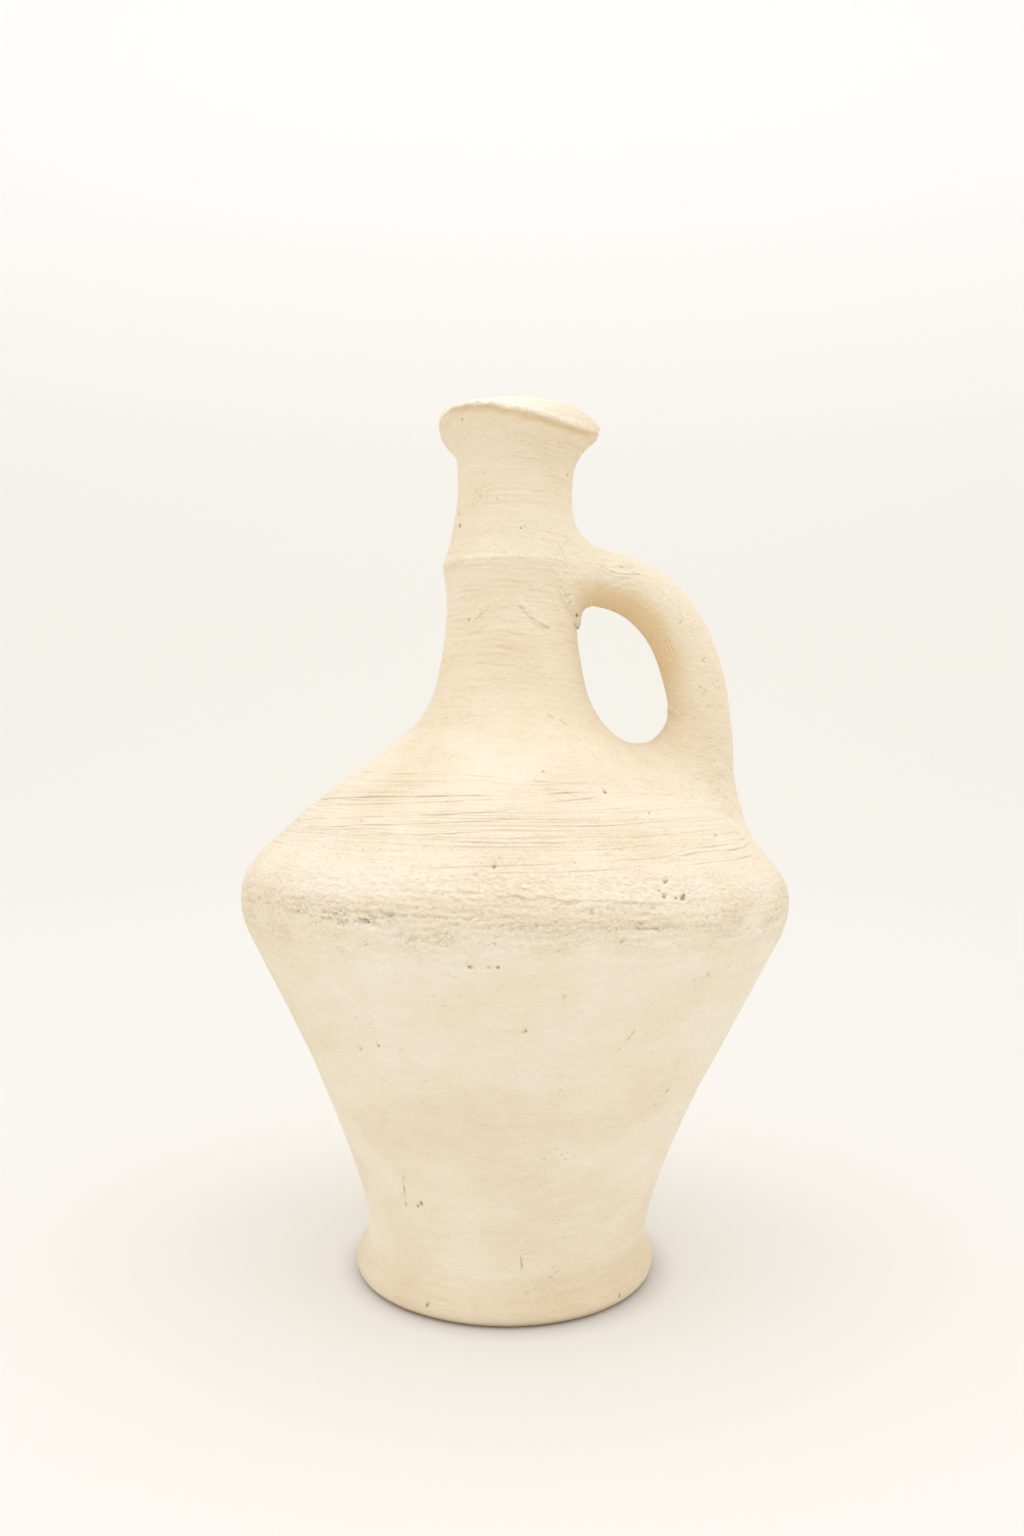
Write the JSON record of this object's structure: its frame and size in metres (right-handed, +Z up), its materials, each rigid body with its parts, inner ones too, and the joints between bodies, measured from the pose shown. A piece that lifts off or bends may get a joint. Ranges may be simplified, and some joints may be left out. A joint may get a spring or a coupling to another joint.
{
  "type": "pottery pitcher",
  "caption": "Hand-built unglazed clay pitcher with a conical body, sharp belly, narrow collared neck, flared lip and a loop handle, for carrying and pouring water.",
  "frame": {"origin": "on the resting plane, on the axis that the foot, body and neck are turned about", "axes": "+Z up along the turning axis; +X towards the handle; -Y is the front of the picture"},
  "size_m": [0.259, 0.259, 0.4092],
  "materials": {
    "floor_clay": "unglazed, rough, dusty",
    "body_clay": "unglazed, matte, wiped smooth",
    "band_clay": "unglazed, matte, rough and pitted",
    "shoulder_clay": "unglazed, matte, combed",
    "neck_clay": "unglazed, matte, wiped",
    "lip_clay": "unglazed, matte, crumbly edge",
    "handle_clay": "unglazed, matte, pulled smooth"
  },
  "bodies": {
    "root": {"base_disc": "floor_clay", "foot_ring": "body_clay", "lower_wall": "body_clay", "belly_band": "band_clay", "shoulder": "shoulder_clay", "neck_root": "neck_clay", "lower_neck": "neck_clay", "neck_collar": "neck_clay", "upper_neck": "neck_clay", "lip": "lip_clay", "handle": "handle_clay", "upper_handle_wad": "handle_clay", "lower_handle_wad": "handle_clay"}
  },
  "joints": []
}
